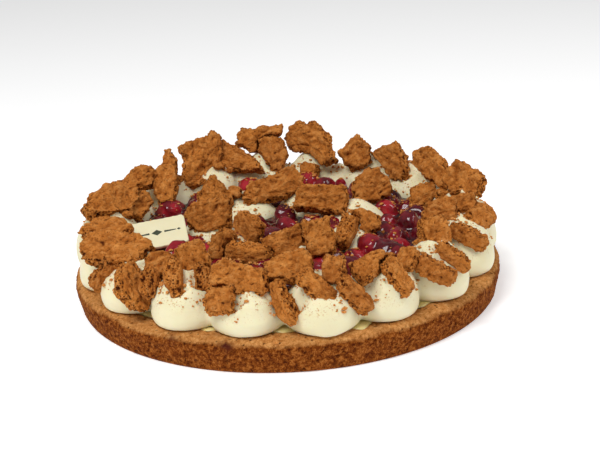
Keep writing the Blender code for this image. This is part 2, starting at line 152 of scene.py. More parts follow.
def add_studio():
    world = bpy.data.worlds.new("studio")
    world.use_nodes = True
    sky = world.node_tree.nodes["Background"]
    sky.inputs["Color"].default_value = (1.0, 1.0, 1.0, 1.0)
    sky.inputs["Strength"].default_value = 0.30
    bpy.context.scene.world = world
    bpy.context.scene.view_settings.view_transform = "Standard"
    add_light("key", place=(-0.5, -0.65, 1.4), energy=16.5, size=0.7)
    add_light("side", place=(0.95, -0.2, 0.9), energy=4.0, size=0.5)
    floor, shader = finish("studio_floor", roughness=0.8, specular=0.0)
    shader.inputs["Base Color"].default_value = (0.97, 0.97, 0.97, 1.0)
    shader.inputs["Emission Color"].default_value = (1.0, 1.0, 1.0, 1.0)
    shader.inputs["Emission Strength"].default_value = 0.32
    bpy.ops.mesh.primitive_plane_add(size=8.0, location=(0.0, 0.0, 0.0))
    ground = bpy.context.object
    ground.name = "floor"
    ground.data.materials.append(floor)


# Node helpers


def finish(name, roughness, specular):
    """A new material and its Principled shader."""
    made = bpy.data.materials.new(name)
    made.use_nodes = True
    shader = made.node_tree.nodes["Principled BSDF"]
    shader.inputs["Roughness"].default_value = roughness
    shader.inputs["Specular IOR Level"].default_value = specular
    return made, shader


def let_light_in(shader, weight, colour, deep):
    """Light that scatters below the surface, deep in millimetres."""
    shader.inputs["Subsurface Weight"].default_value = weight
    shader.inputs["Subsurface Radius"].default_value = colour
    shader.inputs["Subsurface Scale"].default_value = deep * MM


def link(made, source, target):
    made.node_tree.links.new(source, target)


def place_of(made):
    """Where a point of the surface is, in metres."""
    return made.node_tree.nodes.new("ShaderNodeTexCoord").outputs["Object"]


def grain(made, size, detail=3.0, rough=0.5, stretch=None):
    """Noise whose lumps are about size millimetres across, from 0 to 1."""
    nodes = made.node_tree.nodes
    source = place_of(made)
    if stretch:
        mapped = nodes.new("ShaderNodeMapping")
        mapped.inputs["Scale"].default_value = stretch
        link(made, source, mapped.inputs["Vector"])
        source = mapped.outputs["Vector"]
    cloud = nodes.new("ShaderNodeTexNoise")
    cloud.inputs["Scale"].default_value = 1.0 / (size * MM)
    cloud.inputs["Detail"].default_value = detail
    cloud.inputs["Roughness"].default_value = rough
    link(made, source, cloud.inputs["Vector"])
    return cloud.outputs["Fac"]


def cells(made, size):
    """Distance within cells that are about size millimetres across."""
    pattern = made.node_tree.nodes.new("ShaderNodeTexVoronoi")
    pattern.inputs["Scale"].default_value = 1.0 / (size * MM)
    link(made, place_of(made), pattern.inputs["Vector"])
    return pattern.outputs["Distance"]


def share_of(made, name):
    """A value stored at the points of the mesh."""
    stored = made.node_tree.nodes.new("ShaderNodeAttribute")
    stored.attribute_name = name
    return stored.outputs["Fac"]


def spread(made, source, low, high):
    """Map source softly from low..high to 0..1."""
    mapped = made.node_tree.nodes.new("ShaderNodeMapRange")
    mapped.interpolation_type = "SMOOTHSTEP"
    mapped.inputs["From Min"].default_value = low
    mapped.inputs["From Max"].default_value = high
    link(made, source, mapped.inputs["Value"])
    return mapped.outputs["Result"]


def joined(made, first, second, operation):
    """Two values, each a number or a socket, put through one operation."""
    step = made.node_tree.nodes.new("ShaderNodeMath")
    step.operation = operation
    for socket, value in zip(step.inputs, (first, second)):
        if isinstance(value, (int, float)):
            socket.default_value = value
        else:
            link(made, value, socket)
    return step.outputs["Value"]


def tones(made, source, stops):
    """Colours along source, from (position, colour) stops."""
    ramp = made.node_tree.nodes.new("ShaderNodeValToRGB")
    line = ramp.color_ramp
    while len(line.elements) < len(stops):
        line.elements.new(0.5)
    for element, (position, colour) in zip(line.elements, stops):
        element.position = position
        element.color = (*colour, 1.0)
    link(made, source, ramp.inputs["Fac"])
    return ramp.outputs["Color"]


def blended(made, share, first, second):
    """first where share is 0, second where it is 1. Each is a colour or a socket."""
    mix = made.node_tree.nodes.new("ShaderNodeMix")
    mix.data_type = "RGBA"
    for name, value in (("A_Color", first), ("B_Color", second)):
        socket = next(entry for entry in mix.inputs if entry.identifier == name)
        if isinstance(value, tuple):
            socket.default_value = (*value, 1.0)
        else:
            link(made, value, socket)
    link(made, share, mix.inputs["Factor"])
    return next(entry for entry in mix.outputs if entry.identifier == "Result_Color")


def relief(made, shader, heights):
    """Bumps from (height socket, millimetres deep) pairs, one on another."""
    below = None
    for height, deep in heights:
        bump = made.node_tree.nodes.new("ShaderNodeBump")
        bump.inputs["Strength"].default_value = 1.0
        bump.inputs["Distance"].default_value = deep * MM
        link(made, height, bump.inputs["Height"])
        if below is not None:
            link(made, below, bump.inputs["Normal"])
        below = bump.outputs["Normal"]
    link(made, below, shader.inputs["Normal"])


# Finishes


def biscuit_finish():
    made, shader = finish("spiced_biscuit", roughness=0.85, specular=0.10)
    broad = grain(made, 7.0, 6.0, 0.66)
    fine = grain(made, 1.3, 4.0, 0.75)
    torn = share_of(made, "torn")
    crust = tones(made, broad, (
        (0.32, (0.42, 0.124, 0.017)),
        (0.50, (0.63, 0.212, 0.036)),
        (0.68, (0.82, 0.315, 0.066)),
    ))
    crumb = tones(made, fine, (
        (0.34, (0.26, 0.060, 0.005)),
        (0.50, (0.66, 0.215, 0.032)),
        (0.66, (0.88, 0.360, 0.080)),
    ))
    colour = blended(made, torn, crust, crumb)
    colour = blended(made, share_of(made, "bake"), colour, (0.30, 0.080, 0.014))
    # Painted highlight: raised lumps and grains lightened
    colour = blended(made, share_of(made, "lump_highlight"), colour, (0.88, 0.400, 0.115))
    colour = blended(made, spread(made, fine, 0.45, 0.32), colour, (0.24, 0.055, 0.005))
    bubbles = cells(made, 1.7)
    # Painted shade: the pores of broken faces darkened to near black
    pore_shade = spread(made, bubbles, 0.42, 0.18)
    colour = blended(made, joined(made, pore_shade, torn, "MULTIPLY"), colour, (0.090, 0.015, 0.001))
    # Painted shade: pits, creases and caves darkened to near black
    colour = blended(made, spread(made, share_of(made, "pit_shade"), 0.10, 0.9), colour, (0.075, 0.012, 0.001))
    link(made, colour, shader.inputs["Base Color"])
    dents = spread(made, bubbles, 0.05, 0.5)
    relief(made, shader, ((dents, 0.5), (fine, 1.2), (grain(made, 0.6, 2.0), 0.5)))
    return made


def crumb_finish():
    made, shader = finish("biscuit_crumbs", roughness=0.85, specular=0.10)
    fine = grain(made, 1.1, 3.0, 0.7)
    colour = tones(made, fine, (
        (0.35, (0.44, 0.140, 0.022)),
        (0.50, (0.62, 0.240, 0.055)),
        (0.65, (0.78, 0.380, 0.130)),
    ))
    link(made, colour, shader.inputs["Base Color"])
    relief(made, shader, ((fine, 0.5),))
    return made


# Height in metres over which the dark wall turns into the paler top
WALL_TO_TOP = (0.0192, 0.0220)


def crust_finish():
    made, shader = finish("shortcrust", roughness=0.9, specular=0.08)
    fine = grain(made, 2.4, 5.0, 0.82)
    wall = tones(made, fine, (
        (0.38, (0.070, 0.011, 0.001)),
        (0.50, (0.250, 0.058, 0.005)),
        (0.62, (0.520, 0.175, 0.032)),
    ))
    top = tones(made, fine, (
        (0.36, (0.42, 0.145, 0.030)),
        (0.50, (0.65, 0.275, 0.074)),
        (0.64, (0.82, 0.430, 0.150)),
    ))
    height = made.node_tree.nodes.new("ShaderNodeSeparateXYZ")
    link(made, place_of(made), height.inputs["Vector"])
    waves = joined(made, grain(made, 14.0, 3.0), 0.006, "MULTIPLY")
    wavy = joined(made, waves, height.outputs["Z"], "ADD")
    colour = blended(made, spread(made, wavy, *WALL_TO_TOP), wall, top)
    patch = joined(made, spread(made, grain(made, 22.0, 3.0, 0.6), 0.54, 0.82), 0.5, "MULTIPLY")
    colour = blended(made, patch, colour, (0.17, 0.042, 0.006))
    # Juice stains on the rim, partly painted shade along its edge
    colour = blended(made, share_of(made, "stain_and_shade"), colour, (0.085, 0.012, 0.006))
    # Painted shade: the crust's holes darkened to near black
    colour = blended(made, spread(made, share_of(made, "pit_shade"), 0.2, 1.0), colour, (0.050, 0.009, 0.001))
    link(made, colour, shader.inputs["Base Color"])
    relief(made, shader, ((fine, 1.2), (grain(made, 0.7, 2.0), 0.6)))
    return made


def cream_finish():
    made, shader = finish("whipped_cream", roughness=0.45, specular=0.25)
    let_light_in(shader, weight=0.35, colour=(1.0, 0.75, 0.42), deep=3.0)
    soft = grain(made, 16.0, 3.0)
    colour = tones(made, soft, ((0.3, (0.83, 0.760, 0.490)), (0.7, (0.87, 0.810, 0.555))))
    powder = spread(made, grain(made, 1.3, 3.0, 0.75), 0.56, 0.63)
    patches = spread(made, grain(made, 8.0, 2.0), 0.40, 0.58)
    dusted = joined(made, joined(made, powder, patches, "MULTIPLY"), share_of(made, "dust"), "MULTIPLY")
    colour = blended(made, dusted, colour, (0.60, 0.34, 0.100))
    link(made, colour, shader.inputs["Base Color"])
    lines = grain(made, 3.2, 2.0, 0.5, stretch=(0.22, 0.22, 1.0))
    relief(made, shader, ((lines, 0.35), (grain(made, 2.0, 2.0), 0.12)))
    return made


def cherry_finish():
    made, shader = finish("cherries_in_juice", roughness=0.10, specular=0.42)
    let_light_in(shader, weight=0.20, colour=(1.0, 0.10, 0.10), deep=2.0)
    broad = grain(made, 8.0, 4.0, 0.6)
    gel = tones(made, broad, (
        (0.30, (0.010, 0.001, 0.002)),
        (0.55, (0.036, 0.002, 0.005)),
        (0.80, (0.130, 0.005, 0.010)),
    ))
    dark = tones(made, broad, (
        (0.30, (0.035, 0.001, 0.004)),
        (0.50, (0.100, 0.004, 0.009)),
        (0.75, (0.240, 0.008, 0.015)),
    ))
    bright = tones(made, broad, (
        (0.30, (0.18, 0.006, 0.010)),
        (0.50, (0.35, 0.012, 0.022)),
        (0.75, (0.56, 0.026, 0.038)),
    ))
    fruit = blended(made, share_of(made, "tone"), dark, bright)
    link(made, blended(made, share_of(made, "fruit"), gel, fruit), shader.inputs["Base Color"])
    relief(made, shader, ((grain(made, 4.0, 2.0), 0.22), (grain(made, 1.6, 2.0), 0.06)))
    return made


def custard_finish():
    made, shader = finish("custard", roughness=0.3, specular=0.35)
    let_light_in(shader, weight=0.3, colour=(1.0, 0.7, 0.3), deep=2.0)
    soft = grain(made, 6.0, 4.0)
    colour = tones(made, soft, ((0.3, (0.72, 0.56, 0.19)), (0.7, (0.84, 0.72, 0.34))))
    link(made, colour, shader.inputs["Base Color"])
    relief(made, shader, ((soft, 0.8),))
    return made


def chocolate_finish():
    made, shader = finish("white_chocolate", roughness=0.36, specular=0.3)
    let_light_in(shader, weight=0.15, colour=(1.0, 0.8, 0.5), deep=1.0)
    soft = grain(made, 12.0, 3.0)
    colour = tones(made, soft, ((0.3, (0.80, 0.73, 0.47)), (0.7, (0.84, 0.78, 0.53))))
    link(made, colour, shader.inputs["Base Color"])
    relief(made, shader, ((grain(made, 5.0, 3.0), 0.12),))
    return made


def print_finish():
    made, shader = finish("dark_print", roughness=0.5, specular=0.5)
    mottled = grain(made, 2.0, 3.0)
    colour = tones(made, mottled, ((0.3, (0.025, 0.035, 0.020)), (0.7, (0.050, 0.060, 0.030))))
    link(made, colour, shader.inputs["Base Color"])
    relief(made, shader, ((mottled, 0.05),))
    return made


# Mesh helpers


def new_piece(name, points, faces, made):
    mesh = bpy.data.meshes.new(name)
    mesh.from_pydata([tuple(point) for point in points], [], faces)
    mesh.materials.append(made)
    mesh.update()
    piece = bpy.data.objects.new(name, mesh)
    bpy.context.scene.collection.objects.link(piece)
    return piece


def paint(piece, made):
    piece.data.materials.clear()
    piece.data.materials.append(made)


def apply_change(piece, kind, **settings):
    """Add one modifier with these settings and apply it. The material stays."""
    made = piece.data.materials[0]
    change = piece.modifiers.new(kind.lower(), kind)
    for name, value in settings.items():
        setattr(change, name, value)
    bpy.context.view_layer.update()
    evaluated = piece.evaluated_get(bpy.context.evaluated_depsgraph_get())
    result = bpy.data.meshes.new_from_object(evaluated)
    result.name = piece.name
    piece.modifiers.clear()
    piece.data = result
    paint(piece, made)


def remesh(piece, voxel, smoothing):
    """One closed even skin over all that the mesh holds, then smoothed."""
    apply_change(piece, "REMESH", mode="VOXEL", voxel_size=voxel * MM)
    apply_change(piece, "SMOOTH", factor=0.5, iterations=smoothing)
    piece.data.shade_smooth()


def copy_solid(name, node, made):
    """A piece with the shape of one node of the solids."""
    piece = bpy.data.objects.new(name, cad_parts[node].data.copy())
    bpy.context.scene.collection.objects.link(piece)
    paint(piece, made)
    return piece


def gather(points, faces, own, sides):
    """Add one more shape's points and faces to those so far."""
    start = len(points)
    points += own
    faces += [tuple(start + index for index in side) for side in sides]


def read_points(piece):
    """Points in millimetres and normals, as arrays."""
    mesh = piece.data
    points = np.empty(len(mesh.vertices) * 3)
    normals = np.empty(len(mesh.vertices) * 3)
    mesh.vertices.foreach_get("co", points)
    mesh.vertex_normals.foreach_get("vector", normals)
    return points.reshape(-1, 3) / MM, normals.reshape(-1, 3)


def write_points(piece, points):
    piece.data.vertices.foreach_set("co", (points * MM).ravel())
    piece.data.update()


def store(piece, name, values):
    stored = piece.data.attributes.new(name, "FLOAT", "POINT")
    stored.data.foreach_set("value", np.asarray(values, np.float32))


def smoothstep(low, high, value):
    share = min(max((value - low) / (high - low), 0.0), 1.0)
    return share * share * (3.0 - 2.0 * share)


def polar(radius, degrees, height=0.0):
    angle = math.radians(degrees)
    return Vector((radius * math.cos(angle), radius * math.sin(angle), height))


def lathe(rings, segments, wobble=None):
    """Points and faces turned about Z from (radius, height) rings, closed at both ends. wobble(degrees,
    ring) gives how far a point moves out."""
    points = []
    for number, (radius, height) in enumerate(rings):
        for step in range(segments):
            degrees = 360.0 * step / segments
            more = wobble(degrees, number) if wobble else 0.0
            points.append(polar(radius + more, degrees, height))
    faces = []
    for number in range(len(rings) - 1):
        for step in range(segments):
            after = (step + 1) % segments
            low = number * segments
            high = low + segments
            faces.append((low + step, low + after, high + after, high + step))
    faces.append(tuple(reversed(range(segments))))
    faces.append(tuple(range((len(rings) - 1) * segments, len(rings) * segments)))
    return points, faces


def dense(corners, step):
    """Points every step along a line through corners."""
    line = []
    for (r0, z0), (r1, z1) in zip(corners, corners[1:]):
        count = max(1, round(math.hypot(r1 - r0, z1 - z0) / step))
        line += [(r0 + (r1 - r0) * n / count, z0 + (z1 - z0) * n / count) for n in range(count)]
    return line + [corners[-1]]


# Broken biscuit

# Sizes in millimetres of the remeshed grid, and of the waves, lumps, grains and holes in the biscuit
BISCUIT_VOXEL = 0.74
WAVE = 11.0
LUMP = 5.6
GRAIN = 2.1
PORE = 2.3
CAVE = 4.4


def own_axes(points):
    """The directions of a piece's length, width and thickness."""
    directions = np.linalg.eigh(np.cov((points - points.mean(axis=0)).T))[1].T
    return [Vector(direction) for direction in reversed(directions)]


def billow(spot):
    """Rounded lumps from 0 to 1 with soft creases between them, where it is near 0."""
    return min(1.0, 2.3 * math.hypot(noise.noise(spot), 0.07))


def crag(piece, seed):
    """Uneven faces, creases and holes of one broken piece, with the painted shade of its hollows and the
    painted highlight of its raised lumps. Narrow pieces get less relief.
    """
    points, normals = read_points(piece)
    along, across, axis = own_axes(points)
    own_frame = Matrix((along * 0.7, across, axis))
    flat = np.array(axis)
    size = 0.6 + 0.4 * smoothstep(12.0, 30.0, float(np.ptp(points @ np.array(across))))
    rng = random.Random(seed)
    shift = Vector(rng.uniform(-500.0, 500.0) for _ in range(3))
    moves = np.empty(len(points))
    shares = {name: np.empty(len(points)) for name in ("pit_shade", "torn", "lump_highlight")}
    for number, (point, normal) in enumerate(zip(points, normals)):
        spot = own_frame @ Vector(point) + shift
        broken = 1.0 - smoothstep(0.35, 0.75, abs(float(normal @ flat)))
        bent = spot + noise.noise_vector(spot / 4.0) * 1.1
        broad = noise.fractal(spot / WAVE, 0.9, 2.0, 2)
        lumps = billow(bent / LUMP)
        grit = noise.fractal(bent / GRAIN, 0.75, 2.0, 3)
        crease = 1.0 - smoothstep(0.16, 0.36, lumps)
        hole = 1.0 - smoothstep(0.12, 0.44, noise.voronoi(bent / PORE)[0][0])
        cave = 1.0 - smoothstep(0.10, 0.40, noise.voronoi(bent / CAVE)[0][0])
        deep = max(hole * (0.15 + 0.65 * broken), cave * (0.20 + 0.80 * broken))
        moves[number] = (size * (2.0 * broad + 1.35 * (lumps - 0.50) - 0.25 * crease)
                         + (0.50 + 0.55 * broken) * grit - 1.4 * deep)
        # Painted shade in the creases, holes and caves, kept for the finish
        shares["pit_shade"][number] = min(1.0, 0.25 * crease + 0.9 * deep + 0.8 * max(0.0, -grit - 0.15))
        shares["torn"][number] = broken
        # Painted highlight on the raised lumps and grains, kept for the finish
        shares["lump_highlight"][number] = min(0.5, 0.65 * max(0.0, grit + 0.5 * (lumps - 0.6)))
    write_points(piece, points + normals * moves[:, None])
    for name, values in shares.items():
        store(piece, name, values)
    store(piece, "bake", np.full(len(points), rng.uniform(0.0, 0.30)))


def add_biscuits(made):
    pieces = []
    names = [name for name in sorted(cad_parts) if name.startswith("biscuit_")]
    for number, name in enumerate(names):
        piece = copy_solid("baked_" + name, name, made)
        remesh(piece, BISCUIT_VOXEL, smoothing=2)
        crag(piece, seed=number)
        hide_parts(name)
        pieces.append(piece)
    return pieces


# Shortcrust and custard

# Where juice ran onto the rim, partly painted shade of the rim's edge, and how wide each dark red mark is
STAIN_AND_SHADE_RADIUS = 3.4
STAINS_AND_SHADE = (
    Vector((-69.0, -122.0, 19.0)),
    Vector((-39.0, -134.8, 19.0)),
    Vector((-36.0, -136.3, 17.6)),
)

# Where custard shows between two kisses: heading, how far it spread over the rim, and how wide
SPILLS = (
    (287.4, 8.5, 3.0),
    (268.2, 1.5, 1.6),
    (247.8, 3.0, 2.0),
    (308.0, 1.5, 1.6),
)

CRUST_SEGMENTS = 760
CRUST_STEP = 1.1
CUSTARD_SEGMENTS = 480


def add_crust(made):
    outline = (
        (134.0, 0.0),
        (BASE_RADIUS - 0.6, 0.3),
        (BASE_RADIUS, 1.6),
        (BASE_RADIUS + 1.2, RIM_HEIGHT * 0.38),
        (RIM_RADIUS - 0.1, RIM_HEIGHT * 0.70),
        (RIM_RADIUS - 0.6, RIM_HEIGHT * 0.84),
        (RIM_RADIUS - 2.2, RIM_HEIGHT * 0.94),
        (RIM_RADIUS - SHOULDER, RIM_HEIGHT),
        (CUSTARD_RADIUS + 1.4, RIM_HEIGHT),
        (CUSTARD_RADIUS + 0.4, RIM_HEIGHT - 1.2),
        (CUSTARD_RADIUS + 0.4, RIM_HEIGHT - 5.4),
    )
    points, faces = lathe(dense(outline, CRUST_STEP), CRUST_SEGMENTS)
    piece = new_piece("baked_crust", [point * MM for point in points], faces, made)
    piece.data.shade_smooth()
    places, normals = read_points(piece)
    moves = np.zeros(len(places))
    hole_shade = np.zeros(len(places))
    stains_and_shade = np.zeros(len(places))
    for number, point in enumerate(places):
        spot = Vector(point)
        if spot.xy.length < CUSTARD_RADIUS + 1.0 or spot.z < 0.2:
            continue
        foot = smoothstep(0.2, 2.5, spot.z)
        waves = noise.fractal(spot / 11.0, 1.0, 2.0, 3)
        grit = noise.fractal(spot / 1.9, 0.7, 2.0, 3)
        hole = 1.0 - smoothstep(0.10, 0.34, noise.voronoi(spot / 3.6)[0][0])
        moves[number] = foot * (0.55 * waves + 0.38 * grit - 0.7 * hole)
        # Painted shade in the holes, kept for the finish
        hole_shade[number] = hole
        # Dark red marks: juice stains, partly painted shade along the rim's edge
        for place in STAINS_AND_SHADE:
            stains_and_shade[number] += 0.8 * math.exp(-((spot - place).length / (STAIN_AND_SHADE_RADIUS + 1.5 * grit)) ** 2)
    write_points(piece, places + normals * moves[:, None])
    store(piece, "pit_shade", hole_shade)
    store(piece, "stain_and_shade", np.minimum(stains_and_shade, 1.0))
    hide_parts("crust")
    return piece


def spill(degrees):
    return sum(far * math.exp(-((degrees - heading) / wide) ** 2) for heading, far, wide in SPILLS)


def add_custard(made):
    """The custard, with the little that the cream squeezed out over the rim."""
    top = RIM_HEIGHT + 0.9
    outline = (
        (CUSTARD_RADIUS - 1.0, RIM_HEIGHT - 5.0),
        (CUSTARD_RADIUS, RIM_HEIGHT - 4.5),
        (CUSTARD_RADIUS, RIM_HEIGHT - 0.4),
        (CUSTARD_RADIUS + 0.6, RIM_HEIGHT + 0.15),
        (CUSTARD_RADIUS + 0.6, RIM_HEIGHT + 0.5),
        (CUSTARD_RADIUS - 1.0, top),
        (100.0, top),
    )
    over_the_rim = (3, 4, 5)

    def wobble(degrees, ring):
        return spill(degrees) if ring in over_the_rim else 0.0

    points, faces = lathe(outline, CUSTARD_SEGMENTS, wobble)
    piece = new_piece("set_custard", [point * MM for point in points], faces, made)
    piece.data.shade_smooth()
    places, _ = read_points(piece)
    for point in places:
        if point[2] > RIM_HEIGHT:
            point[2] -= rim_drop(math.hypot(point[0], point[1]))
    write_points(piece, places)
    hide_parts("custard")
    return piece


# Piped cream

CREAM_VOXEL = 1.4
KISS_LEVELS = 24
KISS_SEGMENTS = 44
FOLD_WIDTH = 0.042

# Height above the foot and half width of a kiss, as shares of its height and radius
KISS_OUTLINE = (
    (0.0, 0.86),
    (0.04, 0.93),
    (0.12, 0.98),
    (0.26, 1.0),
    (0.42, 0.95),
    (0.58, 0.84),
    (0.73, 0.65),
    (0.87, 0.41),
    (0.96, 0.19),
)


def plan_kisses(plan):
    """Where each kiss of a ring stands, with its radius, its height and how its tip leans."""
    rng = random.Random(plan["seed"])
    step = 360.0 / plan["count"]
    middle = Vector((*plan["middle"], 0.0))
    kisses = []
    for number in range(plan["count"]):
        degrees = plan["first"] + step * number + rng.uniform(-0.8, 0.8)
        place = middle + polar(plan["ring"] + rng.uniform(-1.0, 1.0), degrees, CREAM_FLOOR)
        radius = plan["radius"] * rng.uniform(0.98, 1.05)
        pressed = PRESSED * max(0.0, -math.sin(math.radians(degrees)))
        tall = plan["tall"] * rng.uniform(0.94, 1.04) * (1.0 - pressed)
        lean = polar(rng.uniform(0.0, 3.0), rng.uniform(0.0, 360.0))
        kisses.append((place, radius, tall, lean))
    return kisses


def squeeze_cream(kisses):
    """The low domes between the kisses on the far side."""
    domes = []
    for (place, radius, tall, lean), (after, _, _, _) in zip(kisses, kisses[1:] + kisses[:1]):
        middle = (place + after) / 2.0
        if SQUEEZED[0] < math.degrees(math.atan2(middle.y, middle.x)) < SQUEEZED[1]:
            domes.append((middle, radius * SQUEEZED_RADIUS, tall * SQUEEZED_TALL, lean))
    return domes


def kiss(radius, tall, lean, rng):
    """One piped kiss with a soft fold where the cream sank on itself."""
    fold = rng.uniform(0.22, 0.45)
    deep = rng.uniform(0.4, 1.4)
    tilt = rng.uniform(0.0, 360.0)
    levels = [level / KISS_LEVELS for level in range(KISS_LEVELS)]
    shares = np.interp(levels, *zip(*KISS_OUTLINE))

    def wobble(degrees, number):
        angle = math.radians(degrees - tilt)
        off = (levels[number] - fold - 0.035 * math.sin(angle)) / FOLD_WIDTH
        return -deep * math.exp(-off * off) * (0.6 + 0.4 * math.cos(angle))

    rings = [(radius * share, tall * level) for share, level in zip(shares, levels)]
    points, faces = lathe(rings, KISS_SEGMENTS, wobble)
    faces.pop()
    tip = len(points)
    points.append(Vector((0.0, 0.0, tall)))
    first = tip - KISS_SEGMENTS
    for step in range(KISS_SEGMENTS):
        faces.append((first + step, first + (step + 1) % KISS_SEGMENTS, tip))
    return [point + lean * (point.z / tall) ** 2 for point in points], faces


def rim_drop(radius):
    """How far the rim's rounded shoulder lies below its top."""
    beyond = max(0.0, radius - (RIM_RADIUS - SHOULDER))
    return SHOULDER - math.sqrt(SHOULDER ** 2 - min(beyond, SHOULDER - 0.1) ** 2)


# How far below a biscuit's face the cream stays, in millimetres, and the slope of the cream beside it
UNDER = 2.4
SLOPE = 1.5
SLOPE_STEPS = 9

# How far below the skin of the cream the face of a biscuit is looked for, in metres
LOOK_DOWN = 0.04


def press_in(piece, biscuits):
    """Lower the cream wherever it would stand over a piece of biscuit, with a slope beside the piece, and
    let its foot sag onto the rounded rim."""
    places, _ = read_points(piece)
    limit = np.full(len(places), CLEAR_ABOVE)
    for number, point in enumerate(places):
        above = (Vector(point) + UP * UNDER) * MM
        hit, normal, _, _ = biscuits.ray_cast(above, DOWN, LOOK_DOWN)
        if hit is not None and normal.z > 0.0:
            limit[number] = hit.z / MM - UNDER
    edges = np.empty(len(piece.data.edges) * 2, int)
    piece.data.edges.foreach_get("vertices", edges)
    one, other = edges.reshape(-1, 2).T
    rise = np.linalg.norm(places[one, :2] - places[other, :2], axis=1) * SLOPE
    for _ in range(SLOPE_STEPS):
        wider = limit.copy()
        np.minimum.at(wider, one, limit[other] + rise)
        np.minimum.at(wider, other, limit[one] + rise)
        limit = wider
    places[:, 2] = np.maximum(np.minimum(places[:, 2], limit), CREAM_FLOOR)
    for point in places:
        sag = 1.0 - smoothstep(0.0, 9.0, point[2] - CREAM_FLOOR)
        point[2] -= sag * rim_drop(math.hypot(point[0], point[1]))
    write_points(piece, places)
    apply_change(piece, "SMOOTH", factor=0.5, iterations=5)


def add_cream(name, node, kisses, made, biscuits):
    rng = random.Random(len(kisses))
    points = []
    faces = []
    for place, radius, tall, lean in kisses:
        own, sides = kiss(radius, tall, lean, rng)
        gather(points, faces, [(point + place) * MM for point in own], sides)
    piece = new_piece(name, points, faces, made)
    remesh(piece, CREAM_VOXEL, smoothing=3)
    press_in(piece, biscuits)
    places, normals = read_points(piece)
    moves = np.zeros(len(places))
    dust = np.zeros(len(places))
    for number, (point, normal) in enumerate(zip(places, normals)):
        spot = Vector(point)
        foot = smoothstep(CREAM_FLOOR, CREAM_FLOOR + 2.0, spot.z)
        moves[number] = foot * (0.55 * noise.fractal(spot / 14.0, 1.0, 2.0, 2))
        away = biscuits.find_nearest(spot * MM, CRUMB_REACH)[3]
        if away is None:
            continue
        away /= MM
        dust[number] = (1.0 - smoothstep(2.0, 15.0, away)) * smoothstep(-0.1, 0.5, float(normal[2]))
    write_points(piece, places + normals * moves[:, None])
    store(piece, "dust", dust)
    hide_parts(node)
    return piece


# Cherries in thick juice

CHERRY_VOXEL = 1.12
GEL_TOP = 37.6
GEL_SEGMENTS = 120
DISC_SEGMENTS = 90
BUMP_SPACING = 12.5


def turn(heading, dip, roll=0.0):
    return (
        Matrix.Rotation(math.radians(heading), 4, "Z")
        @ Matrix.Rotation(math.radians(dip), 4, "Y")
        @ Matrix.Rotation(math.radians(roll), 4, "X")
    )


def plan_cherries(rows, inner, outer, tries, seed):
    """The cherries that stand out of the juice, then as many smaller bumps between them as fit."""
    rng = random.Random(seed)
    fruit = []
    for ring, count, first in rows:
        for number in range(count):
            degrees = first + 360.0 * number / count + rng.uniform(-3.0, 3.0)
            height = JUICE_TOP + rng.uniform(-3.0, 1.5)
            place = polar(ring + rng.uniform(-1.0, 1.0), degrees, height)
            radius = CHERRY_RADIUS * rng.uniform(0.92, 1.08)
            fruit.append((place, radius, turn(rng.uniform(0.0, 360.0), rng.uniform(0.0, 360.0))))
    for _ in range(tries):
        reach = math.sqrt(rng.uniform(inner ** 2, outer ** 2))
        place = polar(reach, rng.uniform(0.0, 360.0), JUICE_TOP + rng.uniform(-5.0, -2.5))
        spin = turn(rng.uniform(0.0, 360.0), rng.uniform(0.0, 360.0))
        if all((place - other[0]).xy.length > BUMP_SPACING for other in fruit):
            fruit.append((place, CHERRY_RADIUS * rng.uniform(0.85, 1.0), spin))
    return fruit


def cherry(place, radius, spin, rng):
    """One stoned cherry: a slack ball with a dent and a few folds."""
    shape = bmesh.new()
    bmesh.ops.create_uvsphere(shape, u_segments=28, v_segments=18, radius=1.0)
    shift = Vector(rng.uniform(-50.0, 50.0) for _ in range(3))
    points = []
    for vert in shape.verts:
        ball = vert.co.copy()
        dent = 0.34 * math.exp(-((ball - UP).length / 0.42) ** 2)
        slack = 0.16 * noise.fractal(ball * 1.2 + shift, 1.0, 2.0, 2)
        ball *= 1.0 - dent + slack
        points.append(place + spin.to_3x3() @ Vector((ball.x, ball.y * 0.93, ball.z * 0.9)) * radius)
    faces = [tuple(vert.index for vert in face.verts) for face in shape.faces]
    shape.free()
    return points, faces


def juice_body(inner, outer):
    """The gel that the cherries lie in: a ring, or a disc where inner is 0."""
    if not inner:
        return lathe(((outer, CREAM_FLOOR), (outer, GEL_TOP)), DISC_SEGMENTS)
    corners = ((inner, CREAM_FLOOR), (outer, CREAM_FLOOR), (outer, GEL_TOP), (inner, GEL_TOP))
    points, faces = lathe(corners, GEL_SEGMENTS)
    del faces[-2:]
    last = 3 * GEL_SEGMENTS
    for step in range(GEL_SEGMENTS):
        after = (step + 1) % GEL_SEGMENTS
        faces.append((last + step, last + after, after, step))
    return points, faces


def add_cherries(name, node, fruit, body, made, seed):
    rng = random.Random(seed)
    points, faces = body
    for place, radius, spin in fruit:
        gather(points, faces, *cherry(place, radius, spin, rng))
    tones_of_fruit = [rng.random() ** 1.6 for _ in fruit]
    piece = new_piece(name, [point * MM for point in points], faces, made)
    remesh(piece, CHERRY_VOXEL, smoothing=2)
    places, normals = read_points(piece)
    moves = np.zeros(len(places))
    share = np.zeros(len(places))
    tone = np.zeros(len(places))
    for number, point in enumerate(places):
        spot = Vector(point)
        top = smoothstep(GEL_TOP - 6.0, GEL_TOP - 1.0, spot.z)
        reaches = [(spot - place).length / radius for place, radius, _ in fruit]
        near = min(reaches)
        share[number] = 1.0 - smoothstep(0.90, 1.10, near)
        tone[number] = tones_of_fruit[reaches.index(near)]
        waves = noise.fractal(spot / 7.0, 1.0, 2.0, 2)
        moves[number] = top * (0.8 * waves + 0.10 * noise.noise(spot / 2.2))
    write_points(piece, places + normals * moves[:, None])
    store(piece, "fruit", share)
    store(piece, "tone", tone)
    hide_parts(node)
    return piece


# Plaque

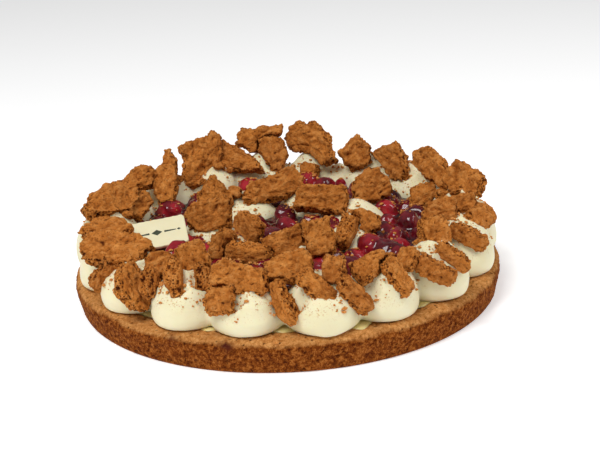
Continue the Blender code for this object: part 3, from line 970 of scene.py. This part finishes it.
PLAQUE_VOXEL = 0.6

# How far the print reaches into the plaque and stands out of it, in millimetres
PRINT_INTO = 0.3
PRINT_OUT = 0.16


def add_plaque(made):
    piece = copy_solid("chocolate_plaque", "plaque", made)
    remesh(piece, PLAQUE_VOXEL, smoothing=1)
    points, normals = read_points(piece)
    moves = np.array([0.08 * noise.fractal(Vector(point) / 6.0, 1.0, 2.0, 2) for point in points])
    write_points(piece, points + normals * moves[:, None])
    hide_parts("plaque")
    return piece


def add_ornament(made):
    """A printed rule: a lozenge between two bars that taper outward, each with a small lozenge at its
    end."""
    flat = [((-3.4, 0.0), (0.0, -2.6), (3.4, 0.0), (0.0, 2.6))]
    for side in (-1.0, 1.0):
        bar = [(side * 4.8, -0.8), (side * 12.4, -0.3), (side * 12.4, 0.3), (side * 4.8, 0.8)]
        end = [(side * 13.0, 0.0), (side * 14.2, -1.0), (side * 15.4, 0.0), (side * 14.2, 1.0)]
        flat += [bar[::int(side)], end[::int(side)]]
    pose = Matrix.Translation(PLAQUE_PLACE) @ turn(*PLAQUE_TURN)
    points = []
    faces = []
    for shape in flat:
        start = len(points)
        count = len(shape)
        for height in (PLAQUE_THICK / 2 - PRINT_INTO, PLAQUE_THICK / 2 + PRINT_OUT):
            points += [pose @ Vector((x, y, height)) for x, y in shape]
        faces.append(tuple(start + index for index in reversed(range(count))))
        faces.append(tuple(start + count + index for index in range(count)))
        for index in range(count):
            after = (index + 1) % count
            faces.append((start + index, start + after, start + count + after, start + count + index))
    return new_piece("printed_rule", [point * MM for point in points], faces, made)


# Broken bits and crumbs

BIT_CORNERS = 16
SMALLEST_CRUMB = 0.30
CRUMB_RANGE = 1.15

# How deep a bit or a crumb sits, as a share of its size
SUNK = 0.35

# The share of crumbs kept out of sight below the biscuits
HIDDEN_SHARE = 0.1

# The bits between the biscuits: heading in degrees, distance from the middle and half length
BITS = (
    (4.0, 107.0, 5.0),
    (359.0, 111.0, 5.0),
    (2.0, 117.0, 4.5),
    (354.0, 126.0, 4.5),
    (179.0, 104.0, 4.5),
    (137.0, 104.0, 6.0),
    (131.0, 104.0, 6.0),
    (124.0, 104.0, 5.5),
    (116.5, 107.0, 5.0),
    (112.0, 106.0, 4.0),
    (134.0, 48.0, 5.5),
    (129.0, 38.0, 4.5),
    (262.0, 113.0, 3.0),
    (301.0, 116.0, 3.0),
    (318.0, 108.0, 3.5),
)


def bit(place, size, rng):
    """One angular bit: the hull of a few corners on a flat box."""
    spin = turn(rng.uniform(0.0, 360.0), rng.uniform(-25.0, 25.0), rng.uniform(-25.0, 25.0)).to_3x3()
    shape = bmesh.new()
    for _ in range(BIT_CORNERS):
        corner = Vector([rng.uniform(-1.0, 1.0) for _ in range(3)])
        corner /= max(abs(share) for share in corner)
        shape.verts.new(place + spin @ (corner * Vector((1.0, 0.75, 0.5))) * size)
    bmesh.ops.convex_hull(shape, input=shape.verts)
    inside = [vert for vert in shape.verts if not vert.link_faces]
    bmesh.ops.delete(shape, geom=inside, context="VERTS")
    shape.verts.index_update()
    points = [vert.co.copy() for vert in shape.verts]
    faces = [tuple(vert.index for vert in face.verts) for face in shape.faces]
    shape.free()
    return points, faces


def add_bits(ground, made):
    rng = random.Random(12)
    points = []
    faces = []
    for degrees, reach, size in BITS:
        spot, normal, _, _ = ground.ray_cast(polar(reach, degrees, CLEAR_ABOVE) * MM, DOWN)
        gather(points, faces, *bit(spot / MM + normal * size * SUNK, size, rng))
    piece = new_piece("broken_bits", [point * MM for point in points], faces, made)
    remesh(piece, BISCUIT_VOXEL, smoothing=2)
    crag(piece, seed=77)
    return piece


def crumb(place, size, rng):
    """One irregular crumb."""
    shape = bmesh.new()
    bmesh.ops.create_icosphere(shape, subdivisions=1, radius=size)
    stretch = Vector((rng.uniform(0.7, 1.3), rng.uniform(0.7, 1.3), rng.uniform(0.5, 0.9)))
    points = [place + vert.co * stretch * rng.uniform(0.75, 1.2) for vert in shape.verts]
    faces = [tuple(vert.index for vert in face.verts) for face in shape.faces]
    shape.free()
    return points, faces


def tree_of(pieces):
    """The surfaces of some pieces, to find what lies below or beside a point."""
    points = []
    faces = []
    for piece in pieces:
        own = [vert.co.copy() for vert in piece.data.vertices]
        gather(points, faces, own, [face.vertices for face in piece.data.polygons])
    return BVHTree.FromPolygons(points, faces)


def scatter_crumbs(name, ground, near, made, inner, outer, tries, seed):
    """Crumbs lying on the pieces in ground, most of them close to the biscuit."""
    rng = random.Random(seed)
    points = []
    faces = []
    for _ in range(tries):
        reach = math.sqrt(rng.uniform(inner ** 2, outer ** 2))
        above = polar(reach, rng.uniform(0.0, 360.0), CLEAR_ABOVE) * MM
        size = SMALLEST_CRUMB + CRUMB_RANGE * rng.random() ** 3
        keep = rng.random()
        spot, normal, _, _ = ground.ray_cast(above, DOWN)
        if spot is None or normal.z < 0.25:
            continue
        if keep > HIDDEN_SHARE and near.ray_cast(spot, UP)[0] is not None:
            continue
        away = near.find_nearest(spot, CRUMB_REACH)[3]
        closeness = 0.0 if away is None else 1.0 - smoothstep(0.0, CRUMB_REACH, away)
        cluster = smoothstep(-0.25, 0.20, noise.noise(spot / (7.0 * MM)))
        if keep > 0.02 + closeness ** 1.5 * cluster:
            continue
        gather(points, faces, *crumb(spot + normal * size * SUNK * MM, size * MM, rng))
    return new_piece(name, points, faces, made)


def main():
    add_camera()
    add_studio()
    cream = cream_finish()
    juicy = cherry_finish()
    crumbly = crumb_finish()
    baked = biscuit_finish()
    biscuits = add_biscuits(baked)
    near = tree_of(biscuits)
    crust = add_crust(crust_finish())
    custard = add_custard(custard_finish())
    kisses = plan_kisses(BORDER)
    kisses += squeeze_cream(kisses)
    border = add_cream("cream_kisses_border", "cream_border", kisses, cream, near)
    inner = add_cream("cream_kisses_inner", "cream_inner", plan_kisses(INNER), cream, near)
    fruit = plan_cherries(RING_OF_CHERRIES, RING_INNER, RING_OUTER, tries=500, seed=21)
    body = juice_body(RING_INNER, RING_OUTER)
    ring = add_cherries("cherries_in_juice_ring", "cherries_ring", fruit, body, juicy, seed=28)
    fruit = plan_cherries(POOL_OF_CHERRIES, 0.0, POOL_OUTER, tries=60, seed=33)
    body = juice_body(0.0, POOL_OUTER)
    pool = add_cherries("cherries_in_juice_middle", "cherries_middle", fruit, body, juicy, seed=40)
    plaque = add_plaque(chocolate_finish())
    ornament = add_ornament(print_finish())
    soft = tree_of([border, inner, ring, pool])
    bits = add_bits(soft, baked)
    near = tree_of([*biscuits, bits])
    top_crumbs = scatter_crumbs(
        "crumbs_on_top", soft, near, crumbly, inner=0.0, outer=138.0, tries=30000, seed=5
    )
    rim_crumbs = scatter_crumbs(
        "crumbs_on_rim", tree_of([crust]), near, crumbly, inner=127.0, outer=138.5, tries=900, seed=6
    )
    others = [crust, custard, border, inner, ring, pool, plaque, ornament, bits, top_crumbs, rim_crumbs]
    for piece in biscuits + others:
        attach(piece, "root")


main()
